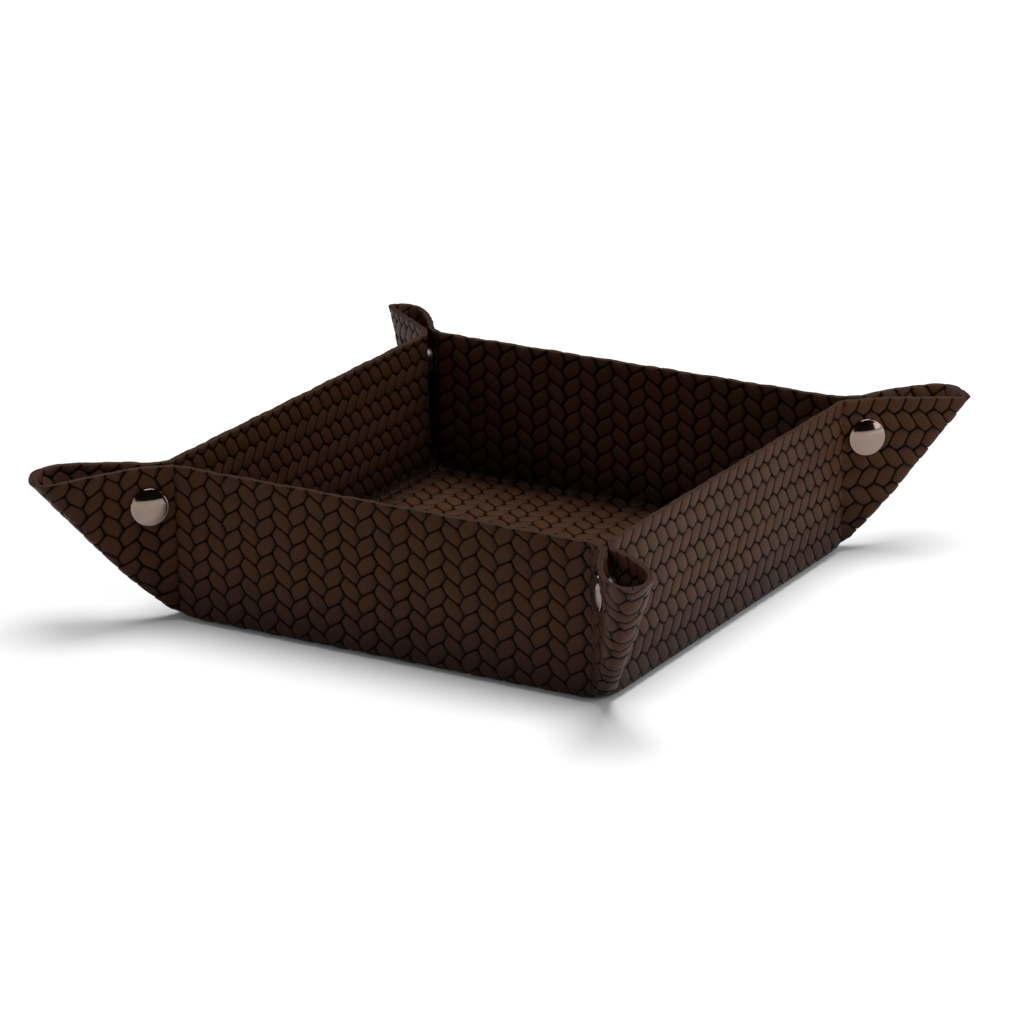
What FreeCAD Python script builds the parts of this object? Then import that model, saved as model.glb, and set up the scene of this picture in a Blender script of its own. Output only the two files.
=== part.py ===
import FreeCAD, Part
import math
import os

Vector = FreeCAD.Vector
Rotation = FreeCAD.Rotation

doc = FreeCAD.newDocument("valet_tray")
sheet = doc.addObject("Spreadsheet::Sheet", "Dims")

# Every length is in millimetres. A value that starts with = follows from the ones above it.
DIMENSIONS = [
    # the folded sheet: two skins glued together over stiffening boards
    ("side_length", "175"),
    ("wall_height", "56"),
    ("skin_thickness", "1.2"),
    ("board_thickness", "0.8"),
    ("fold_radius", "3"),
    ("lip_height", "3.4"),
    ("base_board_margin", "7"),
    ("wall_board_end_margin", "6"),
    ("wall_board_foot_margin", "3"),
    ("wall_board_rim_margin", "7"),
    ("board_recess", "=board_thickness / 2"),
    ("sheet_thickness", "=2 * skin_thickness"),
    ("half_side", "=side_length / 2"),
    ("inner_half", "=half_side - sheet_thickness"),
    # the snaps
    ("snap_reach", "8"),
    ("snap_drop", "14"),
    ("snap_level", "=wall_height - snap_drop"),
    ("snap_clearance", "0.2"),
    ("bore_clearance", "0.05"),
    ("cap_diameter", "13.5"),
    ("cap_height", "2.2"),
    ("cap_edge", "0.9"),
    ("shank_diameter", "3.6"),
    ("socket_diameter", "10.5"),
    ("socket_height", "2.4"),
    ("socket_floor", "0.6"),
    ("stud_diameter", "10"),
    ("stud_flange", "0.6"),
    ("ball_diameter", "5.2"),
    ("ball_height", "1.6"),
    ("ball_clearance", "0.2"),
    ("post_diameter", "10"),
    ("post_flange", "0.8"),
    ("post_recess", "0.5"),
    ("bore_diameter", "=shank_diameter + 2 * bore_clearance"),
    ("cavity_diameter", "=ball_diameter + 2 * ball_clearance"),
    ("dome_rise", "=cap_height - cap_edge"),
    ("dome_radius", "=(cap_diameter ^ 2 / 4 + dome_rise ^ 2) / (2 * dome_rise)"),
    # the ears: pinched flat where the snap sits, then swelling into a loop that tapers to the base
    ("throat_gap", "=socket_height + stud_flange + snap_clearance"),
    ("half_throat", "=throat_gap / 2"),
    ("ear_reach", "46.5"),
    ("ear_foot_reach", "2.5"),
    ("reach_power", "0.9"),
    ("flat_snap_reach", "16.5"),
    ("flat_rim_reach", "9.5"),
    ("flat_foot_reach", "0"),
    ("swell_rim", "22"),
    ("swell_power", "1.8"),
    ("nose_rim", "4"),
    ("nose_foot", "1.1"),
    ("fold_gap_rim", "0.7"),
    ("fold_gap_foot", "1.5"),
    ("shoulder_share", "0.3"),
    ("belly_share", "0.58"),
    ("glue_line", "0.05"),
    # the creases between walls and ears turn the sheet by an eighth of a turn, with mitred plies
    ("crease_gap", "0.3"),
    ("foot_gap", "0.3"),
    ("half_crease_gap", "=crease_gap / 2"),
    ("mitre_slope", "=tan(22.5 deg)"),
    ("skin_mitre", "=skin_thickness * mitre_slope"),
    ("crease_half", "=inner_half - half_throat * sqrt(2)"),
    ("wall_half", "=crease_half - half_crease_gap"),
    # seats of the snap on the two flaps of the front right ear
    ("snap_mid_x", "=inner_half + snap_reach / sqrt(2)"),
    ("snap_mid_y", "=-inner_half - snap_reach / sqrt(2)"),
    ("inner_seat_shift", "=half_throat / sqrt(2)"),
    ("outer_seat_shift", "=(half_throat + sheet_thickness) / sqrt(2)"),
]
for row, (alias, text) in enumerate(DIMENSIONS, start=1):
    sheet.set(f"A{row}", alias)
    sheet.set(f"B{row}", text)
    sheet.setAlias(f"B{row}", alias)
doc.recompute()

WALLS = ["front", "right", "back", "left"]
CORNERS = ["front_right", "back_right", "back_left", "front_left"]
# the flap of each ear that carries the cap: 0 continues the wall before the corner, 1 the wall after
CAP_SIDE = [0, 0, 0, 1]
EAR_SECTIONS = 6
EAR_POINTS = 9
SLOPE_STEP = 0.01
HALVINGS = 40
nodes = []


def dim(alias):
    return float(sheet.get(alias))


def bind(obj, **expressions):
    for name, expression in expressions.items():
        obj.setExpression(name.replace("__", "."), expression)
    return obj


def on_sheet(expression):
    """Points the dimension names in an expression at the sheet."""
    words = []
    for word in expression.split():
        named = word.lstrip("-(").rstrip(")")
        words.append(word.replace(named, f"Dims.{named}") if named.isidentifier() else word)
    return " ".join(words)


def sized(obj, **expressions):
    return bind(obj, **{name: on_sheet(text) for name, text in expressions.items()})


def keep(obj, name):
    obj.Label = name
    nodes.append(obj)
    return obj


def solid(kind, name, **expressions):
    return sized(doc.addObject(kind, name), **expressions)


def cut(name, base, tool):
    obj = doc.addObject("Part::Cut", name)
    obj.Base = base
    obj.Tool = tool
    return obj


def fuse(name, *shapes):
    obj = doc.addObject("Part::MultiFuse", name)
    obj.Shapes = list(shapes)
    return obj


def common(name, *shapes):
    obj = doc.addObject("Part::MultiCommon", name)
    obj.Shapes = list(shapes)
    return obj


def quarter_turn(x, y, turns):
    """The expressions of a point turned about the upright middle line by quarter turns."""
    turned = [(x, y), (f"-({y})", x), (f"-({x})", f"-({y})"), (y, f"-({x})")]
    return turned[turns]


def level_edges(shape, level, half):
    """Names of the edges that lie at one level on a square of the given half side."""
    names = []
    for number, edge in enumerate(shape.Edges, start=1):
        box = edge.BoundBox
        flat = abs(box.ZMin - level) < Part.Precision.confusion() * 10
        flat = flat and abs(box.ZMax - level) < Part.Precision.confusion() * 10
        reach = max(abs(box.XMin), abs(box.XMax), abs(box.YMin), abs(box.YMax))
        if flat and abs(reach - half) < Part.Precision.confusion() * 10:
            names.append(f"Edge{number}")
    return names


def centred_box(body, kind, name, half, foot, top):
    box = body.newObject(kind, name)
    bind(
        box,
        Length=f"2 * ({half})",
        Width=f"2 * ({half})",
        Height=f"{top} - ({foot})",
        Placement__Base__x=f"-({half})",
        Placement__Base__y=f"-({half})",
        Placement__Base__z=foot,
    )
    doc.recompute()
    return box


def round_edges(body, feature, name, level, half, radius):
    fillet = body.newObject("PartDesign::Fillet", name)
    fillet.Base = (feature, level_edges(feature.Shape, level, half))
    bind(fillet, Radius=radius)
    doc.recompute()
    return fillet


def base_skin(name, outset, foot):
    """A shallow pan with rounded bottom edges, hollowed by the skin's own thickness."""
    body = doc.addObject("PartDesign::Body", name)
    outer = f"Dims.half_side - {outset}"
    inner = f"Dims.half_side - {outset} - Dims.skin_thickness"
    floor = f"{foot} + Dims.skin_thickness"
    lip = "Dims.lip_height"
    block = centred_box(body, "PartDesign::AdditiveBox", f"{name}_block", outer, foot, lip)
    half = block.Length.Value / 2
    level = block.Placement.Base.z
    round_edges(body, block, f"{name}_edge", level, half, f"Dims.fold_radius - {outset}")
    hollow = centred_box(body, "PartDesign::SubtractiveBox", f"{name}_hollow", inner, floor, lip)
    half = hollow.Length.Value / 2
    level = hollow.Placement.Base.z
    radius = f"Dims.fold_radius - {outset} - Dims.skin_thickness"
    round_edges(body, hollow, f"{name}_bend", level, half, radius)
    board = "Dims.half_side - Dims.base_board_margin"
    pocket_floor = "Dims.skin_thickness - Dims.board_recess"
    pocket_top = "Dims.skin_thickness + Dims.board_recess"
    centred_box(body, "PartDesign::SubtractiveBox", f"{name}_recess", board, pocket_floor, pocket_top)
    return keep(body, name)


def base_pieces():
    base_skin("base_outer_skin", "0", "0")
    base_skin("base_inner_skin", "Dims.skin_thickness", "Dims.skin_thickness")
    board = solid(
        "Part::Box",
        "base_board",
        Length="2 * ( half_side - base_board_margin )",
        Width="2 * ( half_side - base_board_margin )",
        Height="board_thickness",
        Placement__Base__x="base_board_margin - half_side",
        Placement__Base__y="base_board_margin - half_side",
        Placement__Base__z="skin_thickness - board_recess",
    )
    keep(board, "base_board")


def upright_turn(turns):
    return Rotation(Vector(0, 0, 1), 90 * turns)


def board_box(name, turns=0):
    """The stiffening board of a wall, half in each skin."""
    x, y = quarter_turn(
        "wall_board_end_margin - wall_half", "skin_thickness - half_side - board_recess", turns
    )
    box = doc.addObject("Part::Box", name)
    box.Placement.Rotation = upright_turn(turns)
    return sized(
        box,
        Length="2 * ( wall_half - wall_board_end_margin )",
        Width="board_thickness",
        Height="wall_height - wall_board_rim_margin - lip_height - wall_board_foot_margin",
        Placement__Base__x=x,
        Placement__Base__y=y,
        Placement__Base__z="lip_height + wall_board_foot_margin",
    )


def wall_skin(name, outset, narrow, wide, turns):
    """One ply of a wall. It is longest at its inner face, because its ends are mitred."""
    ply = solid(
        "Part::Wedge",
        f"{name}_ply",
        Ymin=f"{outset} - half_side",
        Ymax=f"{outset} - half_side + skin_thickness",
        Xmin=f"{narrow} - wall_half",
        Xmax=f"wall_half - {narrow}",
        X2min=f"{wide} - wall_half",
        X2max=f"wall_half - {wide}",
        Zmin="lip_height",
        Zmax="wall_height",
        Z2min="lip_height",
        Z2max="wall_height",
    )
    skin = cut(name, ply, board_box(f"{name}_recess"))
    skin.Placement.Rotation = upright_turn(turns)
    keep(skin, name)


def wall_pieces(wall, turns):
    wall_skin(f"{wall}_wall_outer_skin", "0", "2 * skin_mitre", "skin_mitre", turns)
    wall_skin(f"{wall}_wall_inner_skin", "skin_thickness", "skin_mitre", "0", turns)
    keep(board_box(f"{wall}_wall_board", turns), f"{wall}_wall_board")


def share(level):
    return max(0.0, (level - dim("lip_height")) / (dim("wall_height") - dim("lip_height")))


def between(foot, rim, level, power=1):
    return dim(foot) + (dim(rim) - dim(foot)) * share(level) ** power


def flat_reach(level):
    """How far a flap runs straight at one level: furthest where the snap sits."""
    end = "flat_rim_reach" if level > dim("snap_level") else "flat_foot_reach"
    limit = dim("wall_height") if level > dim("snap_level") else dim("lip_height")
    way = (level - dim("snap_level")) / (limit - dim("snap_level"))
    return dim("flat_snap_reach") + (dim(end) - dim("flat_snap_reach")) * way**2


def loop_poles(level):
    """Poles of the inner face of a flap's loop: distances along and across the ear."""
    start = flat_reach(level)
    tip = between("ear_foot_reach", "ear_reach", level, dim("reach_power"))
    length = tip - start
    swell = between("half_throat", "swell_rim", level, dim("swell_power"))
    return [
        (start, -dim("half_throat")),
        (start + dim("shoulder_share") * length, -dim("half_throat")),
        (start + dim("belly_share") * length, -swell),
        (tip, -between("nose_foot", "nose_rim", level)),
        (tip, 0.0),
    ]


def bezier(poles, t):
    while len(poles) > 1:
        poles = [
            (a[0] + (b[0] - a[0]) * t, a[1] + (b[1] - a[1]) * t) for a, b in zip(poles, poles[1:])
        ]
    return poles[0]


def fold_end(level):
    """Where a flap stops short of the fold, so that the two flaps of an ear can swing apart."""
    poles = loop_poles(level)
    gap = between("fold_gap_foot", "fold_gap_rim", level)
    low, high = dim("belly_share"), 1.0
    for _ in range(HALVINGS):
        middle = (low + high) / 2
        if bezier(poles, middle)[1] < -gap:
            low = middle
        else:
            high = middle
    return high


def outward(poles, t):
    steps = [(b[0] - a[0], b[1] - a[1]) for a, b in zip(poles, poles[1:])]
    along, across = bezier(steps, t)
    length = math.hypot(along, across)
    return across / length, -along / length


def loop_point(level, t, depth):
    """A point of the loop, the given depth of sheet out from its inner face."""
    poles = loop_poles(level)
    point = bezier(poles, t)
    normal = outward(poles, t)
    ahead = bezier(loop_poles(level + SLOPE_STEP), t)
    behind = bezier(loop_poles(level - SLOPE_STEP), t)
    lean = sum((a - b) * n for a, b, n in zip(ahead, behind, normal)) / (2 * SLOPE_STEP)
    plan_depth = depth * math.hypot(1, lean)
    return point[0] + plan_depth * normal[0], point[1] + plan_depth * normal[1]


def ear_vector(point, level, mirrored):
    """Turns along and across distances at the front right ear into a place in the tray."""
    along, across = point
    if mirrored:
        across = -across
    x = dim("inner_half") + (along + across) / math.sqrt(2)
    y = -dim("inner_half") + (across - along) / math.sqrt(2)
    return Vector(x, y, level)


def spline(points):
    curve = Part.BSplineCurve()
    curve.interpolate(points)
    return curve.toShape()


def flap_section(level, inside, outside, mirrored):
    """The closed outline of one ply of a flap at one level."""
    sides = []
    end = fold_end(level)
    for depth in (inside, outside):
        start = dim("half_crease_gap") + dim("mitre_slope") * depth - dim("half_throat")
        crease = (start, -dim("half_throat") - depth)
        loop = [loop_point(level, end * i / EAR_POINTS, depth) for i in range(EAR_POINTS + 1)]
        sides.append([ear_vector(point, level, mirrored) for point in [crease, *loop]])
    near, far = sides
    edges = [
        Part.makeLine(near[0], near[1]),
        spline(near[1:]),
        Part.makeLine(near[-1], far[-1]),
        spline(far[:0:-1]),
        Part.makeLine(far[1], far[0]),
        Part.makeLine(far[0], near[0]),
    ]
    return Part.Wire(edges)


def flap_skin(name, inside, outside, mirrored, turns):
    """One ply of one flap of an ear, with the hole punched for its snap."""
    foot = dim("lip_height") + dim("foot_gap")
    rise = (dim("wall_height") - foot) / (EAR_SECTIONS - 1)
    sections = [
        flap_section(foot + rise * i, inside, outside, mirrored) for i in range(EAR_SECTIONS)
    ]
    blank = doc.addObject("Part::Feature", f"{name}_blank")
    blank.Shape = Part.makeLoft(sections, True, False)
    punch = solid(
        "Part::Cylinder",
        f"{name}_punch",
        Radius="bore_diameter / 2",
        Height="2 * ( half_throat + sheet_thickness )",
        Placement__Base__x="snap_mid_x",
        Placement__Base__y="snap_mid_y",
        Placement__Base__z="snap_level",
    )
    way = 1 if mirrored else -1
    punch.Placement.Rotation = Rotation(Vector(0, 0, 1), Vector(way, way, 0))
    skin = cut(name, blank, punch)
    skin.Placement.Rotation = upright_turn(turns)
    keep(skin, name)


def seat(piece, name, shift, way, turns):
    """Stands a snap piece on a flap, with its own upright axis along the flap's outward normal."""
    sign = "+" if way > 0 else "-"
    x = f"Dims.snap_mid_x {sign} Dims.{shift}"
    y = f"Dims.snap_mid_y {sign} Dims.{shift}"
    x, y = quarter_turn(x, y, turns)
    facing = upright_turn(turns).multVec(Vector(way, way, 0))
    piece.Placement.Rotation = Rotation(Vector(0, 0, 1), facing)
    bind(piece, Placement__Base__x=x, Placement__Base__y=y, Placement__Base__z="Dims.snap_level")
    keep(piece, name)


def cylinder(name, diameter, foot, height):
    return solid(
        "Part::Cylinder",
        name,
        Radius=f"{diameter} / 2",
        Height=height,
        Placement__Base__z=foot,
    )


def cap(name, way, turns):
    """A low polished dome on a shank that passes through the flap into the socket."""
    drum = cylinder(f"{name}_drum", "cap_diameter", "0", "cap_height")
    ball = solid(
        "Part::Sphere", f"{name}_ball", Radius="dome_radius", Placement__Base__z="cap_height - dome_radius"
    )
    dome = common(f"{name}_dome", drum, ball)
    shank_foot = "-( sheet_thickness + socket_floor )"
    shank = cylinder(f"{name}_shank", "shank_diameter", shank_foot, "sheet_thickness + socket_floor")
    seat(fuse(name, dome, shank), name, "outer_seat_shift", way, turns)


def socket(name, way, turns):
    """A cup on the inner face of the same flap, open towards the stud."""
    cup = cylinder(f"{name}_cup", "socket_diameter", "-socket_height", "socket_height")
    cavity = cylinder(f"{name}_cavity", "cavity_diameter", "-socket_height", "socket_height - socket_floor")
    bore = cylinder(f"{name}_bore", "bore_diameter", "-socket_floor", "socket_floor")
    seat(cut(name, cup, fuse(f"{name}_hollow", cavity, bore)), name, "inner_seat_shift", way, turns)


def stud(name, way, turns):
    """A flange on the inner face of the other flap, with a hollow ball that enters the socket."""
    flange = cylinder(f"{name}_flange", "stud_diameter", "-stud_flange", "stud_flange")
    drum = cylinder(f"{name}_drum", "ball_diameter", "-( stud_flange + ball_height )", "ball_height")
    ball = solid(
        "Part::Sphere",
        f"{name}_ball",
        Radius="ball_diameter / 2",
        Placement__Base__z="-( stud_flange + ball_height / 2 )",
    )
    body = fuse(f"{name}_body", flange, common(f"{name}_zone", drum, ball))
    reach = "stud_flange + ball_height"
    bore = cylinder(f"{name}_bore", "bore_diameter", f"-( {reach} )", reach)
    seat(cut(name, body, bore), name, "inner_seat_shift", way, turns)


def post(name, way, turns):
    """A flat head on the outer face, with a shank through the flap into the stud."""
    head = cylinder(f"{name}_head", "post_diameter", "0", "post_flange")
    reach = "sheet_thickness + stud_flange + ball_height - post_recess"
    shank = cylinder(f"{name}_shank", "shank_diameter", f"-( {reach} )", reach)
    seat(fuse(name, head, shank), name, "outer_seat_shift", way, turns)


def ear_pieces(corner, turns):
    skin = dim("skin_thickness")
    half_glue = dim("glue_line") / 2
    for side in (0, 1):
        wall = WALLS[(turns + side) % len(WALLS)]
        mirrored = side == 1
        flap_skin(f"{corner}_ear_{wall}_inner_skin", 0.0, skin - half_glue, mirrored, turns)
        flap_skin(f"{corner}_ear_{wall}_outer_skin", skin + half_glue, 2 * skin, mirrored, turns)
    way = 1 if CAP_SIDE[turns] else -1
    cap(f"{corner}_snap_cap", way, turns)
    socket(f"{corner}_snap_socket", way, turns)
    stud(f"{corner}_snap_stud", -way, turns)
    post(f"{corner}_snap_post", -way, turns)


base_pieces()
for turns, wall in enumerate(WALLS):
    wall_pieces(wall, turns)
for turns, corner in enumerate(CORNERS):
    ear_pieces(corner, turns)
doc.recompute()

for obj in doc.Objects:
    if "Invalid" in obj.State or "Error" in obj.State:
        raise RuntimeError(f"{obj.Label} did not build: {obj.State}")
os.makedirs("parts", exist_ok=True)
for obj in nodes:
    if not obj.Shape.isValid() or len(obj.Shape.Solids) != 1:
        raise RuntimeError(f"{obj.Label} is not one sound solid")
    obj.Shape.exportStep(f"parts/{obj.Label}.step")
    print(f"{obj.Label}: {obj.Shape.Volume:.1f} mm3")
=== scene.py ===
# %% [markdown]
# # A valet tray, folded from one plaited sheet
#
# A valet tray starts as a flat square of stiffened leather. Four walls are folded up, and at each
# corner the spare leather is pinched into an ear that a snap holds shut. In this lesson we do the
# same: we emboss a flat sheet, cut it into panels, and fold each panel into place.
#
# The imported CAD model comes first. It gives the real sizes, and the bodies that every piece rides on.

import math

import bmesh
import bpy
import numpy as np
from mathutils import Matrix, Vector


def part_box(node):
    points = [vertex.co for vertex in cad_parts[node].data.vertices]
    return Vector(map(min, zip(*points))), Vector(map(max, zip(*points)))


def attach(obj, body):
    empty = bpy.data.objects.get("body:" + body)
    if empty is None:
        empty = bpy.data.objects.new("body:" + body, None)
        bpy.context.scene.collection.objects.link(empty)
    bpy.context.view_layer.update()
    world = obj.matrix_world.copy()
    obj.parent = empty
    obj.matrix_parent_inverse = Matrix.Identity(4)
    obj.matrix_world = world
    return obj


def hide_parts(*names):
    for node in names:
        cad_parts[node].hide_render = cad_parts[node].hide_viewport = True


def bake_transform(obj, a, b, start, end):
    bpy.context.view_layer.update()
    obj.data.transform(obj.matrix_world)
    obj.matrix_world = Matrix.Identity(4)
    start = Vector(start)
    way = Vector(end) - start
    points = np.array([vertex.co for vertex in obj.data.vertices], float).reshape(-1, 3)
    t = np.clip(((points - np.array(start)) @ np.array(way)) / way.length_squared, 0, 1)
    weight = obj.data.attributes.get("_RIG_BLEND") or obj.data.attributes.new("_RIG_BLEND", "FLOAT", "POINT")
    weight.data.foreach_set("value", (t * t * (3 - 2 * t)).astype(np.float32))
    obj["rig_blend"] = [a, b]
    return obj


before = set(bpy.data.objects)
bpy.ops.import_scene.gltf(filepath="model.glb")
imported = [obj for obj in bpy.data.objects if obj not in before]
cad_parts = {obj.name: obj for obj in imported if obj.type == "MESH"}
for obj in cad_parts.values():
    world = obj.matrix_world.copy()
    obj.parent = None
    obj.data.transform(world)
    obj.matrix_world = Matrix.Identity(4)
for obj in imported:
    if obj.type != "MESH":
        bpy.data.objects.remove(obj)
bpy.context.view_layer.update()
MM = 0.001

# %% [markdown]
# ## Camera
#
# The photograph was taken with a long lens, a little above the tray. The camera is placed by two
# angles and a distance round a point inside the tray, so each number can be changed by itself. The
# small roll makes up for a camera that was not quite level.

# %% Camera
AZIMUTH = math.radians(31.10)
ELEVATION = math.radians(19.35)
ROLL = math.radians(-1.0)
DISTANCE = 1617 * MM
TARGET = Vector((-1.0, 1.3, 25.1)) * MM
LENS = 162.7
CLIP_END = 20


def camera_axes():
    level = math.cos(ELEVATION)
    back = Vector((math.sin(AZIMUTH) * level, -math.cos(AZIMUTH) * level, math.sin(ELEVATION)))
    right = Vector((math.cos(AZIMUTH), math.sin(AZIMUTH), 0))
    up = back.cross(right)
    rolled_right = math.cos(ROLL) * right + math.sin(ROLL) * up
    return rolled_right, back.cross(rolled_right), back


def add_camera():
    right, up, back = camera_axes()
    camera = bpy.data.objects.new("camera", bpy.data.cameras.new("camera"))
    camera.data.lens = LENS
    camera.data.clip_end = CLIP_END
    camera.matrix_world = Matrix.Translation(TARGET + back * DISTANCE) @ Matrix(
        (right, up, back)
    ).transposed().to_4x4()
    bpy.context.scene.collection.objects.link(camera)
    bpy.context.scene.camera = camera
    return camera


print("camera at", [round(v, 3) for v in add_camera().matrix_world.translation])

# %% [markdown]
# ## The flat sheet
#
# Lengths from here on are in millimetres, as on a leather worker's pattern. The outside of the base
# and the height of the rim come from the frame, and the sheet is two plies thick. The bend along the
# foot of a wall uses up some leather, and its length is measured at mid thickness, where leather
# neither stretches nor shortens.

# %% Pattern sizes
SHEET = 2.4
PLY = SHEET / 2
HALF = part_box("base_outer_skin")[1].x / MM
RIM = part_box("front_wall_outer_skin")[1].z / MM
BEND_RADIUS = 1.6
BEND_LEVEL = SHEET + BEND_RADIUS
BEND_START = HALF - BEND_LEVEL
BEND_END = BEND_START + math.pi / 2 * (BEND_RADIUS + PLY)
RIM_BEAD = 0.25
PATTERN_HALF = BEND_END + RIM - RIM_BEAD - BEND_LEVEL
MITRE = math.tan(math.radians(22.5))
HALF_THROAT = 1.6
INNER_HALF = HALF - SHEET
CREASE = INNER_HALF - HALF_THROAT * math.sqrt(2)
CREASE_FOOT = CREASE + MITRE * BEND_RADIUS
WALLS = ["front", "right", "back", "left"]
CORNERS = ["front_right", "back_right", "back_left", "front_left"]
print(f"flat sheet {2 * PATTERN_HALF:.1f} mm square, creases at {CREASE:.2f} mm")

# %% [markdown]
# ## The plait
#
# The leather is embossed like a basket: strands lean left in one column and right in the next, and
# each shows as a bent six-sided tile. A bump map would do from far away, but the tiles are millimetres
# wide and catch the light, so they are real relief. One tile is drawn by its outline at the bottom of
# the groove and three rings inside it, which round its edge. The mirrored tile fills the columns
# between, and lies a little higher, as the strand on top does in a basket.

# %% One tile of the plait
COLUMN = 6.8
PITCH = 6.69
FIRST_COLUMN, FIRST_ROW = 2.18, 0.16
TIP_ACROSS, TIP_DOWN = 2.3, 4.68
EDGE_WAVE = 0.02
EDGE_BOW = 0.1
LONG_STEPS, SHORT_STEPS = 4, 3
CORNER_EASE = 0.4
GROOVE = 0.7
LOW_COLUMN = 0.12
RINGS = [(0.08, -0.46), (0.22, -0.22), (0.85, -0.07)]
# A strand sinks by DIP at the end where it goes under the next; the second number is how much painted shade
# that end gets.
DIP, DIP_SHADE = 0.18, 0.3
DIP_START, DIP_END = 0.6, 4.3
LEAST_STEP = 0.03
MIRROR = np.array([-1.0, 1.0, 1.0, 1.0])


def tile_outline():
    """One strand's outline, from its middle: a long wavy side, a bowed side and a hollow end, twice."""
    first = np.array([-TIP_ACROSS, -TIP_DOWN])
    second = np.array([TIP_ACROSS, TIP_DOWN - PITCH])
    third = np.array([COLUMN - TIP_ACROSS, TIP_DOWN - PITCH / 2])
    sides = [
        (first, second, LONG_STEPS, lambda s: EDGE_WAVE * np.sin(2 * np.pi * s)),
        (second, third, SHORT_STEPS, lambda s: -EDGE_BOW * np.sin(np.pi * s)),
        (third, -first, SHORT_STEPS, lambda s: EDGE_BOW * np.sin(np.pi * s)),
    ]
    points = []
    for start, end, steps, lift in sides:
        way = end - start
        inward = np.array([-way[1], way[0]]) / np.linalg.norm(way)
        for s in np.arange(steps) / steps:
            points.append(start + way * s + inward * lift(s))
    return np.array(points + [-p for p in points])


def inset(outline, distance):
    """The outline moved inwards, with its corners eased."""
    before, after = np.roll(outline, 1, axis=0), np.roll(outline, -1, axis=0)
    along = after - before
    inward = np.stack([-along[:, 1], along[:, 0]], axis=1)
    inward /= np.linalg.norm(inward, axis=1, keepdims=True)
    moved = outline + inward * distance
    neighbours = (np.roll(moved, 1, axis=0) + np.roll(moved, -1, axis=0)) / 2
    return (1 - CORNER_EASE) * moved + CORNER_EASE * neighbours


def tile_points(sink, under):
    """A tile's points, from its outline in the groove to its middle, each with the painted shade that it
    holds.

    A low tile sinks by its column's depth. Each tile dips at one end, where its strand goes under the next,
    and gets painted shade there: at the right if under is 1, at the left if it is -1.
    """
    outline = tile_outline()
    rings = [np.column_stack([outline, np.full(len(outline), -GROOVE)])]
    for distance, relief in RINGS:
        ring = inset(outline, distance)
        rings.append(np.column_stack([ring, np.full(len(ring), relief)]))
    points = np.concatenate(rings + [np.zeros((1, 3))])
    dip = np.clip((under * points[:, 0] - DIP_START) / (DIP_END - DIP_START), 0, 1) ** 2
    # Painted shade: most deep in the groove, and more towards the dipped end of a strand.
    painted_shade = -points[:, 2] / GROOVE + DIP_SHADE * dip
    lowered = np.maximum(points[:, 2] - sink - DIP * dip, LEAST_STEP - GROOVE)
    points[len(outline) :, 2] = lowered[len(outline) :]
    return np.column_stack([points, painted_shade])


def tile_faces(count):
    faces = []
    for ring in range(len(RINGS)):
        for i in range(count):
            j = (i + 1) % count
            low, high = ring * count, (ring + 1) * count
            faces.append((low + i, low + j, high + j, high + i))
    top, middle = len(RINGS) * count, (len(RINGS) + 1) * count
    faces += [(top + i, top + (i + 1) % count, middle) for i in range(count)]
    return faces


HIGH_TILE = tile_points(0.0, -1) * MIRROR
LOW_TILE = tile_points(LOW_COLUMN, 1)
TILE_FACES = tile_faces(len(tile_outline()))
print(f"one tile: {len(HIGH_TILE)} points, {len(TILE_FACES)} faces")

# %% [markdown]
# ## Embossing and cutting
#
# The tiles are laid out over the part of the sheet that a panel needs, and their shared edges are
# welded. Then the panel is cut from them along straight lines, as with a knife. bmesh has one
# operator for both jobs: bisect_plane cuts the offcut away, or only scores the leather where it
# has to bend smoothly.

# %% Emboss and cut
WELD_DISTANCE, CUT_DISTANCE = 0.02, 0.01


def embossed(low, high):
    """A flat bmesh of whole tiles that covers the rectangle between two corners of the pattern."""
    points, faces = [], []
    first = math.floor((low[0] - FIRST_COLUMN) / COLUMN) - 1
    last = math.ceil((high[0] - FIRST_COLUMN) / COLUMN) + 1
    for column in range(first, last + 1):
        mirrored = column % 2 == 1
        tile, turn = (HIGH_TILE, -1) if mirrored else (LOW_TILE, 1)
        shift = FIRST_ROW + (PITCH / 2 if mirrored else 0.0)
        lowest = math.floor((low[1] - shift) / PITCH) - 1
        highest = math.ceil((high[1] - shift) / PITCH) + 1
        for row in range(lowest, highest + 1):
            start = len(points) * len(tile)
            middle = np.array([column * COLUMN + FIRST_COLUMN, row * PITCH + shift, 0.0, 0.0])
            points.append(tile + middle)
            faces += [tuple(start + i for i in face[::turn]) for face in TILE_FACES]
    mesh = bpy.data.meshes.new("flat")
    points = np.concatenate(points)
    mesh.from_pydata(points[:, :3].tolist(), [], faces)
    # The fourth column is each point's painted shade, stored as the groove attribute.
    painted_shade = points[:, 3].astype(np.float32)
    mesh.attributes.new("groove", "FLOAT", "POINT").data.foreach_set("value", painted_shade)
    flat = bmesh.new()
    flat.from_mesh(mesh)
    bpy.data.meshes.remove(mesh)
    bmesh.ops.remove_doubles(flat, verts=flat.verts[:], dist=WELD_DISTANCE)
    return flat


def knife(flat, normal, offset, clear):
    """Cuts along the line where normal . point = offset. With clear, what lies beyond it goes."""
    geometry = flat.verts[:] + flat.edges[:] + flat.faces[:]
    normal = Vector((normal[0], normal[1], 0.0))
    bmesh.ops.bisect_plane(
        flat,
        geom=geometry,
        dist=CUT_DISTANCE,
        plane_co=normal * (offset / normal.length_squared),
        plane_no=normal,
        clear_outer=clear,
    )


def turned(points, quarter_turns):
    """Points turned about the tray's upright middle line."""
    cos, sin = [(1, 0), (0, 1), (-1, 0), (0, -1)][quarter_turns % 4]
    x, y = points[:, 0], points[:, 1]
    return np.column_stack([cos * x - sin * y, sin * x + cos * y, *points.T[2:]])


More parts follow.
